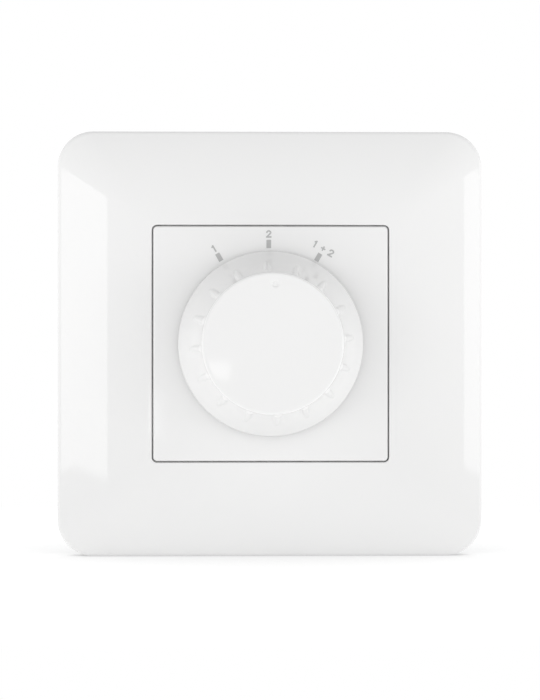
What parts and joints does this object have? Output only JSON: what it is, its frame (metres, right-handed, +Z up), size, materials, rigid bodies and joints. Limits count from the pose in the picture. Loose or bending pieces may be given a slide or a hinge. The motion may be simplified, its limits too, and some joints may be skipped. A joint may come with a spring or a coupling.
{
  "type": "speaker selector switch",
  "caption": "Flush wall-mounted rotary speaker selector switch: square convex cover frame, centre plate, ribbed knob with three positions and screw terminals behind.",
  "frame": {"origin": "on the knob's axis, in the plane of the wall that the mounting ring lies on", "axes": "+Y into the wall along the knob's axis, +X to the right and +Z up as seen from the front"},
  "size_m": [0.081, 0.0477, 0.081],
  "materials": {
    "cover_frame": "gloss",
    "centre_plate": "satin",
    "position_marks": "matte",
    "mounting_ring": "satin",
    "base_moulding": "matte",
    "flange_screws": "satin",
    "switch_front_plate": "satin",
    "lock_washer": "satin",
    "bushing_nut": "satin",
    "switch_body": "matte",
    "detent_spring": "satin",
    "contact_wafer": "matte",
    "fixed_contacts": "satin",
    "switch_rivets": "satin",
    "circuit_board": "satin",
    "terminal_block_upper": "matte",
    "terminal_block_lower": "matte",
    "terminal_clamps": "satin",
    "terminal_screws": "satin",
    "rear_cover": "matte",
    "housing_screws": "satin",
    "knob": "gloss",
    "knob_spring": "satin",
    "switch_shaft": "satin",
    "retaining_ring": "satin",
    "detent_wheel": "satin",
    "rotor": "satin",
    "wiper_contacts": "satin"
  },
  "bodies": {
    "housing": {"cover_frame": "cover_frame", "centre_plate": "centre_plate", "position_marks": "position_marks", "mounting_ring": "mounting_ring", "base_moulding": "base_moulding", "flange_screws": "flange_screws", "switch_front_plate": "switch_front_plate", "lock_washer": "lock_washer", "bushing_nut": "bushing_nut", "switch_body": "switch_body", "detent_spring": "detent_spring", "contact_wafer": "contact_wafer", "fixed_contacts": "fixed_contacts", "switch_rivets": "switch_rivets", "circuit_board": "circuit_board", "terminal_block_upper": "terminal_block_upper", "terminal_block_lower": "terminal_block_lower", "terminal_clamps": "terminal_clamps", "terminal_screws": "terminal_screws", "rear_cover": "rear_cover", "housing_screws": "housing_screws"},
    "knob_and_shaft": {"knob": "knob", "knob_spring": "knob_spring", "switch_shaft": "switch_shaft", "retaining_ring": "retaining_ring", "detent_wheel": "detent_wheel", "rotor": "rotor", "wiper_contacts": "wiper_contacts"}
  },
  "joints": [
    {"name": "knob_turn", "type": "hinge", "parent": "housing", "child": "knob_and_shaft", "pos_m": [0, 0, 0], "axis": [0, 1, 0], "range_deg": [-30, 30], "deforming": ["detent_spring"]}
  ]
}
